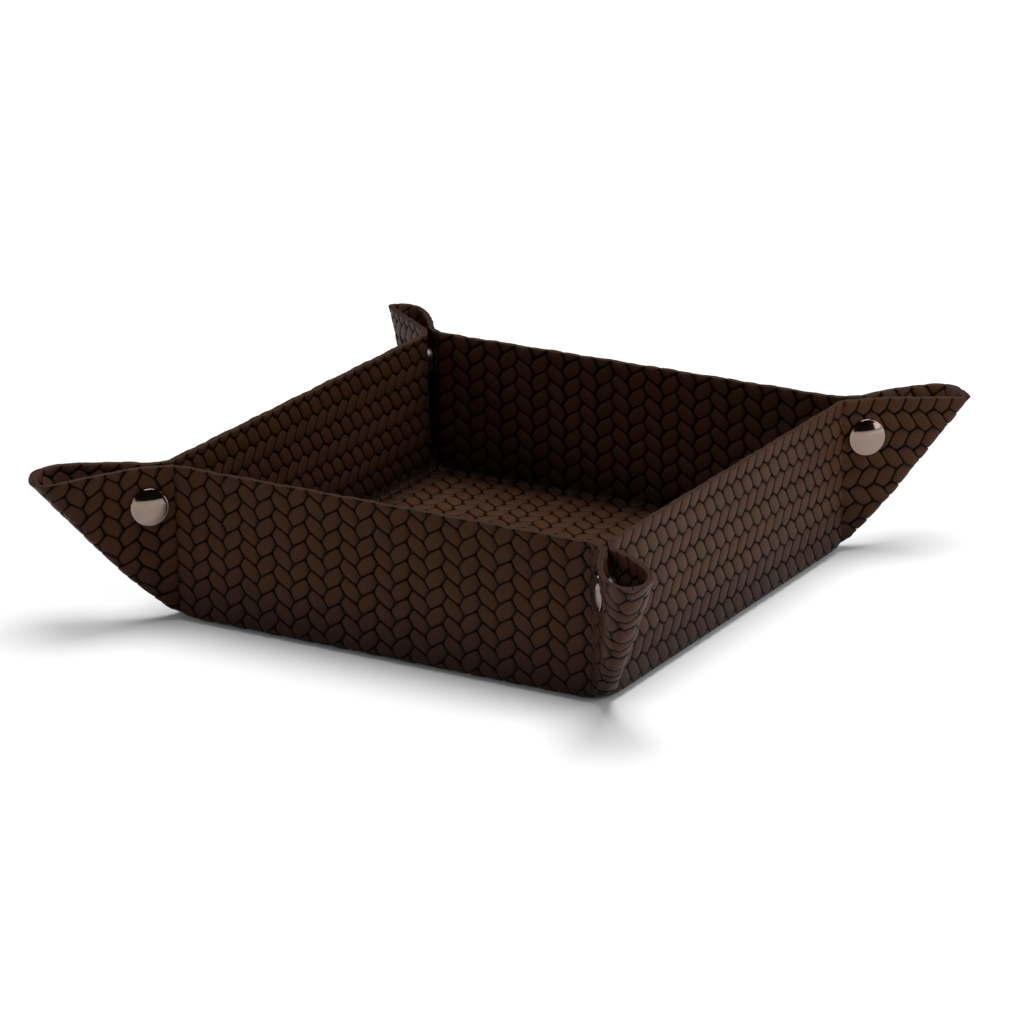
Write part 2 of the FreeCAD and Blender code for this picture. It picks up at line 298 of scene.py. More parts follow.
# %% [markdown]
# ## Folding
#
# A panel's pattern is given by two distances: u along the wall and w out from the middle of the
# sheet. Folding sends each pair, and a depth in the leather, to a place in the tray. On the base w
# runs outwards, round the bend it turns up, and on the wall it climbs. In an ear the leather
# follows a path seen from above: straight where the snap pinches it, then out into a loop that
# narrows towards the foot.

# %% The path of an ear
EAR_FOOT, REACH_POWER = 1.5, 0.9
SNAP_LEVEL = sum(corner.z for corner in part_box("front_right_snap_cap")) / 2 / MM
FLAT_SNAP, FLAT_RIM, FLAT_FOOT = 16.5, 5.0, -0.5
THROAT_RIM = 0.3
SWELL_POWER = 1.8
NOSE_FOOT = 1.5
SHOULDER = 0.12
LEVELS, WAYS = 60, 96
BERNSTEIN = [1, 4, 6, 4, 1]


def straight_end(level):
    """How far the pinched part of an ear runs at one level: furthest where the snap sits."""
    end, limit = (FLAT_RIM, RIM) if level > SNAP_LEVEL else (FLAT_FOOT, BEND_LEVEL)
    return FLAT_SNAP + (end - FLAT_SNAP) * ((level - SNAP_LEVEL) / (limit - SNAP_LEVEL)) ** 2


def pinch(level, start):
    """The part of a flap that the snap holds, and how far across the ear it ends.

    It stands open by the snap's thickness, and is all but shut at the rim.
    """
    above = max(level - SNAP_LEVEL, 0) / (RIM - SNAP_LEVEL)
    close = (THROAT_RIM - HALF_THROAT) * above**3
    s = np.linspace(0, 1, WAYS, endpoint=False)
    across = -HALF_THROAT - close * s * s * (3 - 2 * s)
    return np.column_stack([-HALF_THROAT + (start + HALF_THROAT) * s, across]), -HALF_THROAT - close


def ear_path(level, shape):
    """The inner face of a flap at one level, as distances along and across the ear."""
    share = (level - BEND_LEVEL) / (RIM - BEND_LEVEL)
    start = straight_end(level)
    straight, throat = pinch(level, start)
    tip = EAR_FOOT + (shape["reach"] - EAR_FOOT) * share**REACH_POWER
    swell = HALF_THROAT + (shape["swell"] - HALF_THROAT) * share**SWELL_POWER
    nose = NOSE_FOOT + (shape["nose"] - NOSE_FOOT) * share**SWELL_POWER
    lean = shape["lean"] * share
    poles = np.array(
        [
            (start, throat),
            (start + SHOULDER * (tip - start), throat),
            (start + shape["belly"] * (tip - start), -swell + lean),
            (tip, -nose + lean),
            (tip, lean),
        ]
    )
    t = np.linspace(0, 1, 4 * WAYS)[:, None]
    curve = sum(
        count * t**i * (1 - t) ** (4 - i) * poles[i] for i, count in enumerate(BERNSTEIN)
    )
    return np.concatenate([straight, curve])


def spread(path, depth):
    """The path's points at even steps of leather, measured at the given depth, and their normals."""
    along = np.gradient(path, axis=0)
    normal = np.column_stack([along[:, 1], -along[:, 0]])
    normal /= np.linalg.norm(normal, axis=1, keepdims=True)
    middle = path + depth * normal
    run = np.concatenate([[0], np.cumsum(np.linalg.norm(np.diff(middle, axis=0), axis=1))])
    even = np.linspace(0, run[-1], WAYS + 1)
    return [np.column_stack([np.interp(even, run, a) for a in grid.T]) for grid in (path, normal)]


def ear_table(shape):
    """Places, normals and droop of a flap, on a grid of levels and shares of its width."""
    levels = np.linspace(BEND_LEVEL, RIM, LEVELS)
    rows = [spread(ear_path(level, shape), PLY) for level in levels]
    place, normal = (np.stack(part) for part in zip(*rows))
    normal[:, 0] = (MITRE, -1.0)
    normal[:, -1] = (1.0, 0.0)
    tilt = (np.gradient(place, levels, axis=0) * normal).sum(axis=2, keepdims=True)
    normal[:, 1:] *= np.hypot(1, np.clip(tilt, -1, 1))[:, 1:]
    rise = np.linspace(0, 1, LEVELS)[:, None, None]
    drop = shape["droop"] * (rise * np.linspace(0, 1, WAYS + 1)[None, :, None]) ** 2
    return np.concatenate([place, normal, drop], axis=2)


def look_up(table, level, way):
    """The table's rows at any level and way, by straight lines between its grid points."""
    row = np.clip((level - BEND_LEVEL) / (RIM - BEND_LEVEL), 0, 1) * (LEVELS - 1)
    column = np.clip(way, 0, 1) * WAYS
    i = np.minimum(row.astype(int), LEVELS - 2)
    j = np.minimum(column.astype(int), WAYS - 1)
    up, over = (row - i)[:, None], (column - j)[:, None]
    low = table[i, j] * (1 - over) + table[i, j + 1] * over
    high = table[i + 1, j] * (1 - over) + table[i + 1, j + 1] * over
    return low * (1 - up) + high * up


# %% [markdown]
# The four ears were pinched by hand, so no two loops are alike. Each flap has its own swell and its
# own fatness near the nose, and the two flaps of an ear share their reach, a lean to one side and the
# droop of its tip.

# %% Shape each ear
EAR_SHAPES = {
    "front_right": {
        "reach": 41.5, "lean": -2.0, "droop": 0.5,
        "swells": (8.5, 13.0), "bellies": (0.55, 0.55), "noses": (6.5, 8.5),
    },
    "back_right": {
        "reach": 45.2, "lean": -0.7, "droop": 3.5,
        "swells": (1.5, 12.0), "bellies": (0.5, 0.8), "noses": (1.5, 18.0),
    },
    "back_left": {
        "reach": 43.5, "lean": 4.0, "droop": 2.0,
        "swells": (9.0, 0.5), "bellies": (0.5, 0.5), "noses": (9.0, 1.0),
    },
    "front_left": {
        "reach": 45.2, "lean": -1.7, "droop": 3.5,
        "swells": (16.0, 3.0), "bellies": (0.8, 0.8), "noses": (15.0, 11.0),
    },
}


def flap_shape(corner, side):
    ear = EAR_SHAPES[corner]
    return {
        "reach": ear["reach"],
        "droop": ear["droop"],
        "lean": -ear["lean"] if side else ear["lean"],
        "swell": ear["swells"][side],
        "belly": ear["bellies"][side],
        "nose": ear["noses"][side],
    }


EARS = {(corner, side): ear_table(flap_shape(corner, side)) for corner in CORNERS for side in (0, 1)}
print("ear grids:", len(EARS), "of", EARS["front_right", 0].shape)


# %% Fold the base, a wall and an ear
LIFT, LIFT_SPREAD, LIFT_HEIGHT = 3.0, 6.0, 25.0
RIM_WAVE, LONG_WAVE, SHORT_WAVE = 0.4, 23.0, 8.3
LONG_SHARE, SHORT_SHARE = 0.3, 0.2
RIM_FADE, FOLD_FADE = 6, 8
LEAST_WIDTH = 0.1
FOOT_EASE = 3


def corner_lift(x, y, z):
    """How far the pinch pulls a point up. Only the foot of each corner rises."""
    away = np.hypot(np.maximum(HALF - np.abs(x), 0), np.maximum(HALF - np.abs(y), 0))
    return LIFT * np.exp(-((away / LIFT_SPREAD) ** 2)) * np.clip(1 - z / LIFT_HEIGHT, 0, 1) ** 2


def fold_base(pattern, depth):
    """The base stays flat. Its edges spread a hair, to meet the mitred feet of the walls."""
    knots = [0, CREASE, BEND_START]
    spots = [0, CREASE_FOOT, BEND_START]
    x, y = (np.sign(p) * np.interp(np.abs(p), knots, spots) for p in (pattern[:, 0], pattern[:, 1]))
    z = SHEET - depth
    return np.column_stack([x, y, z + corner_lift(x, y, z)])


def rim_wave(u, climb, wall):
    """How far the hand-cut rim dips along its length. It fades out below, and at the ears' folds."""
    long = np.sin(2 * np.pi * u / LONG_WAVE + wall)
    short = np.sin(2 * np.pi * u / SHORT_WAVE + 2 * wall)
    fade = (climb / (PATTERN_HALF - BEND_END)) ** RIM_FADE * (1 - (u / PATTERN_HALF) ** FOLD_FADE)
    return RIM_WAVE * (LONG_SHARE + SHORT_SHARE + LONG_SHARE * long + SHORT_SHARE * short) * fade


def ear_corner(wall, side):
    """The ear at one end of a wall: to its right, seen from outside, where side is 1."""
    return CORNERS[wall] if side > 0 else CORNERS[wall - 1]


def fold_wall(u, w, depth, wall):
    """Folds a wall and its two flaps as if at the front, and turns them to the wall's own side."""
    turn = np.clip((w - BEND_START) / (BEND_END - BEND_START), 0, 1) * np.pi / 2
    radius = BEND_RADIUS + depth
    out = radius * np.sin(turn)
    climb = np.maximum(w - BEND_END, 0)
    climb -= rim_wave(u, climb, wall)
    z = BEND_LEVEL - radius * np.cos(turn) + climb
    x = u / CREASE * (CREASE_FOOT - MITRE * out)
    y = -(BEND_START + out)
    for end in (1, -1):
        here = u * end > CREASE
        way = (np.abs(u[here]) - CREASE) / np.maximum(w[here] - CREASE, LEAST_WIDTH)
        table = EARS[ear_corner(wall, end), 0 if end > 0 else 1]
        row = look_up(table, climb[here] + BEND_LEVEL, way)
        plan = row[:, :2] + row[:, 2:4] * (out[here] - BEND_RADIUS)[:, None]
        ear_x = INNER_HALF + (plan[:, 0] + plan[:, 1]) / math.sqrt(2)
        ear_y = -INNER_HALF + (plan[:, 1] - plan[:, 0]) / math.sqrt(2)
        foot_x = np.interp(np.abs(u[here]), [CREASE, BEND_START], [CREASE_FOOT, BEND_START])
        foot_x += way * out[here]
        ease = (1 - np.sin(turn[here])) * np.clip(FOOT_EASE * way, 0, 1)
        x[here] = end * (ear_x + (foot_x - ear_x) * ease)
        y[here] = ear_y + (y[here] - ear_y) * ease
        z[here] -= row[:, 4]
    return turned(np.column_stack([x, y, z + corner_lift(x, y, z)]), wall)


# %% [markdown]
# ## Finishes
#
# The skins are coated leather: a deep brown with a low sheen and a fine pebbled grain. Grooves,
# creases and the dipped ends of strands get painted shade. Each point of the mesh stores how much
# painted shade it holds, so the material can read it. The folds at the foot of the walls get painted
# shade too. Cut rims show the raw edge. Each leather is made of nodes only, in the flat sheet's own
# coordinates, so that grain runs on from panel to panel.


# %% Node helpers
def new_material(name):
    material = bpy.data.materials.new(name)
    material.use_nodes = True
    nodes = material.node_tree.nodes
    return material, nodes, material.node_tree.links, nodes["Principled BSDF"]


def add_node(nodes, kind, **inputs):
    node = nodes.new(kind)
    for name, value in inputs.items():
        node.inputs[name].default_value = value
    return node


def ramp(nodes, links, factor, *stops):
    """A colour ramp fed by factor, with stops of (position, colour)."""
    node = nodes.new("ShaderNodeValToRGB")
    while len(node.color_ramp.elements) < len(stops):
        node.color_ramp.elements.new(0.5)
    for element, (position, colour) in zip(node.color_ramp.elements, stops):
        element.position = position
        element.color = (*colour, 1)
    links.new(factor, node.inputs["Fac"])
    return node.outputs["Color"]


def feed(links, socket, value):
    """Gives an input its value: a link from another node's output, or else a constant."""
    if isinstance(value, bpy.types.NodeSocket):
        links.new(value, socket)
    else:
        socket.default_value = value


def math_node(nodes, links, operation, *values):
    """A math node. Each of its values is a number or another node's output."""
    node = nodes.new("ShaderNodeMath")
    node.operation = operation
    for socket, value in zip(node.inputs, values):
        feed(links, socket, value)
    return node.outputs[0]


def mix_colours(nodes, links, blend, factor, first, second):
    """A colour mix. The factor and both colours are constants or other nodes' outputs."""
    node = nodes.new("ShaderNodeMix")
    node.data_type = "RGBA"
    node.blend_type = blend
    for name, value in (("Factor", factor), ("A", first), ("B", second)):
        feed(links, node.inputs[name], value)
    return node.outputs["Result"]


def grey(value):
    return (value, value, value)


# %% Leather
SHEEN = 0.1
# How dark the painted shade along the foot of the walls is, and how far it fades.
FOOT_SHADE_TONE, FOOT_SHADE_FADE = 0.42, 18.0


def painted_foot_shade(nodes, links, sheet):
    """Painted shade along the folds at the foot of the walls, fading out into the base and up the walls."""
    axes = nodes.new("ShaderNodeSeparateXYZ")
    links.new(sheet, axes.inputs[0])
    sides = []
    for name in ("X", "Y"):
        from_middle = math_node(nodes, links, "SUBTRACT", axes.outputs[name], 0.5)
        sides.append(math_node(nodes, links, "ABSOLUTE", from_middle))
    out = math_node(nodes, links, "MAXIMUM", *sides)
    places = [BEND_START - FOOT_SHADE_FADE / 2, BEND_START, BEND_END, BEND_END + FOOT_SHADE_FADE]
    tones = [1.0, FOOT_SHADE_TONE, FOOT_SHADE_TONE, 1.0]
    stops = [(place / (2 * PATTERN_HALF), grey(tone)) for place, tone in zip(places, tones)]
    return ramp(nodes, links, out, *stops)


def leather(name, deep, mid, pale, rough):
    """Coated leather: a clouded brown with a fine grain, and painted shade at its feet and in its grooves
    and creases.
    """
    material, nodes, links, shader = new_material(name)
    pattern = nodes.new("ShaderNodeUVMap")
    pattern.uv_map = "sheet"
    sheet = pattern.outputs["UV"]
    cloud = add_node(nodes, "ShaderNodeTexNoise", Scale=9.0, Detail=8.0, Roughness=0.72)
    grain = add_node(nodes, "ShaderNodeTexVoronoi", Scale=420.0)
    fine = add_node(nodes, "ShaderNodeTexNoise", Scale=900.0, Detail=3.0)
    for node in (cloud, grain, fine):
        links.new(sheet, node.inputs["Vector"])
    tone = ramp(nodes, links, cloud.outputs["Fac"], (0.3, mid), (0.75, pale))
    # Painted shade along the foot of the walls.
    foot_shaded = mix_colours(nodes, links, "MULTIPLY", 1.0, tone, painted_foot_shade(nodes, links, sheet))
    # Painted shade in the grooves, creases and dipped strand ends, read from the groove attribute.
    groove = nodes.new("ShaderNodeAttribute")
    groove.attribute_name = "groove"
    painted_shade = ramp(nodes, links, groove.outputs["Fac"], (0.12, grey(0)), (0.48, grey(1)))
    with_painted_shade = mix_colours(nodes, links, "MIX", painted_shade, foot_shaded, (*deep, 1))
    links.new(with_painted_shade, shader.inputs["Base Color"])
    gloss = ramp(nodes, links, fine.outputs["Fac"], (0.3, grey(rough - 0.05)), (0.7, grey(rough + 0.07)))
    links.new(gloss, shader.inputs["Roughness"])
    shader.inputs["Specular IOR Level"].default_value = SHEEN
    pebble = add_node(nodes, "ShaderNodeBump", Strength=0.16, Distance=0.00008)
    links.new(grain.outputs["Distance"], pebble.inputs["Height"])
    pore = add_node(nodes, "ShaderNodeBump", Strength=0.12, Distance=0.00006)
    links.new(fine.outputs["Fac"], pore.inputs["Height"])
    links.new(pebble.outputs["Normal"], pore.inputs["Normal"])
    links.new(pore.outputs["Normal"], shader.inputs["Normal"])
    return material


# The near-black brown that is painted into grooves, creases and strand ends as shade.
PAINTED_SHADE_BROWN = (0.004, 0.0010, 0.0004)
BROWN, PALE_BROWN = (0.062, 0.0235, 0.0092), (0.088, 0.0350, 0.0158)
# The inner ply's browns are the outer ones darkened by about a sixth: painted shade inside the tray and the
# ears.
INNER_SHADED_BROWN, INNER_SHADED_PALE_BROWN = (0.052, 0.0198, 0.0080), (0.075, 0.0300, 0.0137)
OUTER_LEATHER = leather("outer_leather", PAINTED_SHADE_BROWN, BROWN, PALE_BROWN, 0.5)
INNER_LEATHER = leather("inner_leather", PAINTED_SHADE_BROWN, INNER_SHADED_BROWN, INNER_SHADED_PALE_BROWN, 0.52)
print("leathers:", OUTER_LEATHER.name, INNER_LEATHER.name)


# %% Cut edges and boards
def fibrous(name, dark, light, rough):
    """A dull, flecked finish, as on a cut edge or a pressed board."""
    material, nodes, links, shader = new_material(name)
    place = nodes.new("ShaderNodeTexCoord")
    fibre = add_node(nodes, "ShaderNodeTexNoise", Scale=1400.0, Detail=5.0, Roughness=0.65)
    links.new(place.outputs["Object"], fibre.inputs["Vector"])
    fleck = ramp(nodes, links, fibre.outputs["Fac"], (0.3, dark), (0.7, light))
    links.new(fleck, shader.inputs["Base Color"])
    bump = add_node(nodes, "ShaderNodeBump", Strength=0.3, Distance=0.0001)
    links.new(fibre.outputs["Fac"], bump.inputs["Height"])
    links.new(bump.outputs["Normal"], shader.inputs["Normal"])
    shader.inputs["Roughness"].default_value = rough
    shader.inputs["Specular IOR Level"].default_value = SHEEN
    return material


CUT_EDGE = fibrous("cut_edge", (0.030, 0.015, 0.0085), (0.062, 0.035, 0.023), 0.6)
BOARD = fibrous("board", (0.16, 0.13, 0.10), (0.26, 0.22, 0.18), 0.85)
print("edge and board:", CUT_EDGE.name, BOARD.name)

# %% [markdown]
# ## Making a ply
#
# Each panel has two plies, glued back to back. A ply is a closed shell: an embossed face, a plain
# face where it is glued, and a rim that joins their borders. Both faces come from the same cut
# pattern, so the rim only has to join each border point to its twin. Along the open top the rim
# gets a rounded bead, and the two beads side by side show as the fine double line of a cut edge.

# %% Ply builder
BEAD_ROWS = [(0.12, 0.6), (0.35, 0.95), (0.65, 0.95), (0.88, 0.6)]
RIM_SLACK = 0.02
SMOOTH_ANGLE = math.radians(50)


def border_loops(flat):
    """The border edges of a flat panel, each in the direction that its own face runs."""
    edges = []
    for edge in flat.edges:
        if len(edge.link_loops) == 1:
            loop = edge.link_loops[0]
            edges.append((loop.vert.index, loop.link_loop_next.vert.index))
    return edges


def bead_rows(local, face_depth, rim_points, fold):
    """The rows of points that round the open top of a ply, from its shown face to its glued one."""
    rows = []
    for share, rise in BEAD_ROWS:
        raised = local[rim_points] + np.array([0.0, -RIM_BEAD * rise])
        depth = face_depth[rim_points] * (1 - share) + PLY * share
        rows.append(fold(raised, depth))
    return rows


def edge_faces(border, count, rim_points, outer):
    """The faces that join a ply's two borders, by way of the bead along its open top."""
    places = {point: place for place, point in enumerate(rim_points)}

    def chain(point, beaded):
        starts = [2 * count + row * len(rim_points) for row in range(len(BEAD_ROWS))]
        bead = [start + places[point] for start in starts] if beaded else []
        return [point, *bead, count + point]

    faces = []
    for a, b in border:
        beaded = a in places and b in places
        first, second = chain(a, beaded), chain(b, beaded)
        for i in range(len(first) - 1):
            quad = [first[i], second[i], second[i + 1], first[i + 1]]
            faces.append(quad if outer else quad[::-1])
    return faces


def build_ply(name, flat, fold, wall, outer, leather_finish):
    """Folds a cut panel into one ply. fold takes points turned to the front wall, and their depths."""
    flat.verts.index_update()
    pattern = np.array([v.co for v in flat.verts])
    count = len(pattern)
    local = turned(pattern[:, :2], -wall)
    face_depth = SHEET + pattern[:, 2] if outer else -pattern[:, 2]
    border = border_loops(flat)
    on_rim = np.isclose(np.abs(local[:, 1]), PATTERN_HALF, atol=RIM_SLACK)
    rim_points = sorted({i for edge in border for i in edge if on_rim[i]})
    layers = [fold(local, face_depth), fold(local, np.full(count, PLY))]
    layers += bead_rows(local, face_depth, rim_points, fold)
    faces = [[v.index for v in face.verts] for face in flat.faces]
    shown = [face[::-1] if outer else face for face in faces]
    hidden = [[count + i for i in face[::-1]] for face in shown]
    joins = edge_faces(border, count, rim_points, outer)
    mesh = bpy.data.meshes.new(name)
    mesh.from_pydata((np.concatenate(layers) * MM).tolist(), [], shown + hidden + joins)
    groove = flat.verts.layers.float["groove"]
    painted_shade = [v[groove] for v in flat.verts]
    finish_ply(mesh, pattern[:, :2], painted_shade, rim_points, len(shown) + len(hidden))
    for material in (leather_finish, CUT_EDGE):
        mesh.materials.append(material)
    piece = bpy.data.objects.new(name, mesh)
    bpy.context.scene.collection.objects.link(piece)
    return piece


def finish_ply(mesh, sheet, painted_shade, rim_points, leather_faces):
    """Stores the flat sheet as a UV map and the painted shade on the points, and sets finishes and
    smoothing.
    """
    flat = np.concatenate([sheet, sheet, *[sheet[rim_points]] * len(BEAD_ROWS)])
    stored = np.zeros(len(mesh.vertices), np.float32)
    stored[: len(painted_shade)] = painted_shade
    mesh.attributes.new("groove", "FLOAT", "POINT").data.foreach_set("value", stored)
    corners = np.zeros(len(mesh.loops), np.int32)
    mesh.loops.foreach_get("vertex_index", corners)
    uv = (flat[corners] / (2 * PATTERN_HALF) + 0.5).astype(np.float32)
    mesh.uv_layers.new(name="sheet").data.foreach_set("uv", uv.ravel())
    finish = np.zeros(len(mesh.polygons), np.int32)
    finish[leather_faces:] = 1
    mesh.polygons.foreach_set("material_index", finish)
    mesh.polygons.foreach_set("use_smooth", np.ones(len(mesh.polygons), bool))
    mesh.set_sharp_from_angle(angle=SMOOTH_ANGLE)


# %% [markdown]
# ## Base, walls and ears
#
# The base is one square. Each wall panel takes in the bend at its foot, and follows the base below
# it and the wall above, so the leather stays whole when the tray is laid flat. Each flap does the
# same at its crease.

# %% Cut the panels
# The third crease number is how much painted shade the pressed crease gets.
CREASE_WIDTH, CREASE_DEPTH, CREASE_SHADE = 0.7, 0.26, 0.4
CREASE_WEAR, CREASE_STEP = 0.3, 1.9
BEND_SCORES = [0.25, 0.5, 0.75, 1.0]
FLAP_SCORE = 2.4
FOLD_SCORES = [0.5, 1.1, 1.9, 3.0, 4.6]


def wall_pattern(wall, low, high):
    """Corners of a rectangle of the pattern, turned from the front wall to the given one."""
    corners = turned(np.array([low, high], float), wall)
    return corners.min(axis=0), corners.max(axis=0)


def wall_knife(flat, wall, normal, offset, clear=True):
    """A cut given in the front wall's u and -w, turned to the given wall."""
    knife(flat, turned(np.array([normal], float), wall)[0], offset, clear)


def press_crease(flat, wall):
    """Presses the line where a flap leaves its wall, now deeper and now fainter, as worn leather is, and
    paints shade along it.
    """
    groove = flat.verts.layers.float["groove"]
    for point in flat.verts:
        u, w = np.abs(turned(np.array([point.co[:2]]), -wall)[0])
        if w > BEND_END and abs(u - CREASE) < CREASE_WIDTH:
            crease_strength = 1 - CREASE_WEAR + CREASE_WEAR * math.sin(CREASE_STEP * w)
            crease_strength *= 1 - abs(u - CREASE) / CREASE_WIDTH
            point.co.z -= CREASE_DEPTH * crease_strength
            # Painted shade along the pressed crease, as strong as the crease is deep.
            point[groove] = max(point[groove], CREASE_SHADE * crease_strength)


def cut_wall(wall):
    """A wall with the bend at its foot. The bend runs on to the sheet's diagonals, below the flaps."""
    flat = embossed(*wall_pattern(wall, (-BEND_END, -PATTERN_HALF), (BEND_END, -BEND_START)))
    wall_knife(flat, wall, (0, 1), -BEND_START)
    wall_knife(flat, wall, (0, -1), PATTERN_HALF)
    for side in (1, -1):
        wall_knife(flat, wall, (side, 1), 0)
        for line in (CREASE - CREASE_WIDTH, CREASE):
            wall_knife(flat, wall, (side, 0), line, clear=False)
    for part in BEND_SCORES:
        wall_knife(flat, wall, (0, -1), BEND_START + part * (BEND_END - BEND_START), clear=False)
    spare = []
    for face in flat.faces:
        u, w = turned(np.array([face.calc_center_median()[:2]]), -wall)[0]
        if abs(u) > CREASE and -w > BEND_END:
            spare.append(face)
    bmesh.ops.delete(flat, geom=spare, context="FACES")
    press_crease(flat, wall)
    return flat


def cut_flap(wall, side):
    """A flap is the triangle between its crease and the diagonal of the sheet, above the bend."""
    low, high = sorted([side * CREASE, side * PATTERN_HALF])
    flat = embossed(*wall_pattern(wall, (low, -PATTERN_HALF), (high, -BEND_END)))
    wall_knife(flat, wall, (0, 1), -BEND_END)
    wall_knife(flat, wall, (0, -1), PATTERN_HALF)
    wall_knife(flat, wall, (-side, 0), -CREASE)
    wall_knife(flat, wall, (side, 1), 0)
    for line in [CREASE + CREASE_WIDTH, *np.arange(CREASE + FLAP_SCORE, PATTERN_HALF, FLAP_SCORE)]:
        wall_knife(flat, wall, (side, 0), line, clear=False)
    for line in FOLD_SCORES:
        wall_knife(flat, wall, (side, 1), -line, clear=False)
    press_crease(flat, wall)
    return flat


def cut_base():
    flat = embossed((-BEND_START, -BEND_START), (BEND_START, BEND_START))
    for normal in ((1, 0), (-1, 0), (0, 1), (0, -1)):
        knife(flat, normal, BEND_START, True)
    return flat


# %% Base plies
PLIES = [("outer", True, OUTER_LEATHER), ("inner", False, INNER_LEATHER)]


def settle(piece, node):
    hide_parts(node)
    print(piece.name, len(piece.data.vertices), "points")


flat_base = cut_base()
for layer, outer, finish in PLIES:
    ply = build_ply(f"base_{layer}_ply", flat_base, fold_base, 0, outer, finish)
    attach(ply, "base")
    settle(ply, f"base_{layer}_skin")
flat_base.free()

# %% Wall plies
FOLD_REACH = 4.2
FOOT_START = (0, -BEND_START, SHEET)
FOOT_END = (0, -BEND_START - FOLD_REACH, SHEET + FOLD_REACH)


def bend_line(wall, start, end):
    """Two points, given for the front wall in millimetres, turned to the given wall in metres."""
    return turned(np.array([start, end], float), wall) * MM


def wall_fold(wall):
    """The fold of one wall and its flaps, in the form that build_ply calls."""
    return lambda local, depth: fold_wall(local[:, 0], -local[:, 1], depth, wall)


for wall, wall_name in enumerate(WALLS):
    flat_wall = cut_wall(wall)
    for layer, outer, finish in PLIES:
        ply = build_ply(f"{wall_name}_wall_{layer}_ply", flat_wall, wall_fold(wall), wall, outer, finish)
        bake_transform(ply, "base", f"{wall_name}_wall", *bend_line(wall, FOOT_START, FOOT_END))
        settle(ply, f"{wall_name}_wall_{layer}_skin")
    flat_wall.free()

# %% Ear plies
CREASE_REACH = 4.0
CREASE_START = INNER_HALF + (MITRE * SHEET - HALF_THROAT) / math.sqrt(2)
CREASE_END = CREASE_START + CREASE_REACH / math.sqrt(2)
for wall, wall_name in enumerate(WALLS):
    for side in (1, -1):
        ear = f"{ear_corner(wall, side)}_ear_{wall_name}"
        start, end = ((side * x, -x, 0) for x in (CREASE_START, CREASE_END))
        flat_flap = cut_flap(wall, side)
        for layer, outer, finish in PLIES:
            ply = build_ply(f"{ear}_{layer}_ply", flat_flap, wall_fold(wall), wall, outer, finish)
            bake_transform(ply, f"{wall_name}_wall", f"{ear}_flap", *bend_line(wall, start, end))
            settle(ply, f"{ear}_{layer}_skin")
        flat_flap.free()

# %% [markdown]
# ## Boards and snaps
#
# The boards are sealed between the plies, so they keep the frame's own shape and only get a finish.
# The snaps are turned metal. Each one is drawn as half a profile, radius and height from the face it
# sits on, and spun on a lathe. The caps have a low dome and a rolled edge, which is what catches the
# bright line along the top. CAP_SIDE says which of an ear's two flaps carries the cap and its socket.
# The other flap carries the stud and its post.

# %% Board finish
boards = ["base_board"] + [f"{wall}_wall_board" for wall in WALLS]
for node in boards:
    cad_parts[node].data.materials.clear()
    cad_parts[node].data.materials.append(BOARD)
print("boards:", len(boards))


# %% Metal
def metal(name, dark, light, rough):
    """Polished metal, with a faint haze in its tint and its gloss."""
    material, nodes, links, shader = new_material(name)
    place = nodes.new("ShaderNodeTexCoord")
    haze = add_node(nodes, "ShaderNodeTexNoise", Scale=160.0, Detail=3.0)
    links.new(place.outputs["Object"], haze.inputs["Vector"])
    tint = ramp(nodes, links, haze.outputs["Fac"], (0.3, dark), (0.7, light))
    links.new(tint, shader.inputs["Base Color"])
    gloss = ramp(nodes, links, haze.outputs["Fac"], (0.35, grey(rough)), (0.65, grey(rough + 0.05)))
    links.new(gloss, shader.inputs["Roughness"])
    shader.inputs["Metallic"].default_value = 1.0
    return material


NICKEL = metal("dark_nickel", (0.22, 0.165, 0.138), (0.26, 0.195, 0.163), 0.06)
STEEL = metal("snap_steel", (0.13, 0.12, 0.11), (0.18, 0.165, 0.15), 0.32)
print("metals:", NICKEL.name, STEEL.name)


# %% Turn the snaps
TURN_STEPS = 72
SNAP_REACH = 8.0
CAP_SIDE = {"front_right": 0, "back_right": 0, "back_left": 0, "front_left": 1}
CAP_RADIUS, CAP_RISE, CAP_EDGE, CAP_ROLL, CAP_UNDERCUT = 6.75, 1.2, 1.0, 0.5, 0.3
SHANK, CAP_SHANK_END, POST_SHANK_END = 1.8, -3.0, -4.1
TURNED_SMOOTH_ANGLE = math.radians(35)


def arc(middle, radius, start, end, steps):
    """Points of an arc in a profile, from one angle to another, in degrees."""
    angles = np.radians(np.linspace(start, end, steps))
    return [(middle[0] + radius * math.cos(a), middle[1] + radius * math.sin(a)) for a in angles]


def cap_profile():
    flat = CAP_RADIUS - CAP_ROLL
    dome = (flat**2 + CAP_RISE**2) / (2 * CAP_RISE)
    crown = CAP_EDGE + CAP_RISE - dome
    top = math.degrees(math.acos(flat / dome))
    points = arc((0, crown), dome, 90, top, 14)[1:]
    points += arc((flat, CAP_EDGE - CAP_ROLL), CAP_ROLL, top, -70, 10)
    shank = [(SHANK, 0), (SHANK, CAP_SHANK_END), (0, CAP_SHANK_END)]
    return [(0, CAP_EDGE + CAP_RISE), *points, (flat - CAP_UNDERCUT, 0), *shank]


def socket_profile():
    lip = arc((4.9, -2.05), 0.35, 0, -180, 7)
    wall = [(4.3, -1.3), (3.1, -1.1), (2.8, -2.3), (2.8, -0.6)]
    return [(SHANK, 0), (5.0, 0), (5.25, -0.3), *lip, *wall, (SHANK, -0.6)]


def stud_profile():
    ball = arc((0, -1.4), 2.6, -18, -42, 6)
    flange = [(4.7, 0), (5.0, -0.25), (4.8, -0.6), (3.0, -0.6), (2.35, -0.85)]
    return [(SHANK, 0), *flange, *ball, (SHANK, -2.2)]


def post_profile():
    rim = arc((4.6, 0.4), 0.4, 80, -80, 7)
    return [(0, 0.8), *rim, (SHANK, 0), (SHANK, POST_SHANK_END), (0, POST_SHANK_END)]


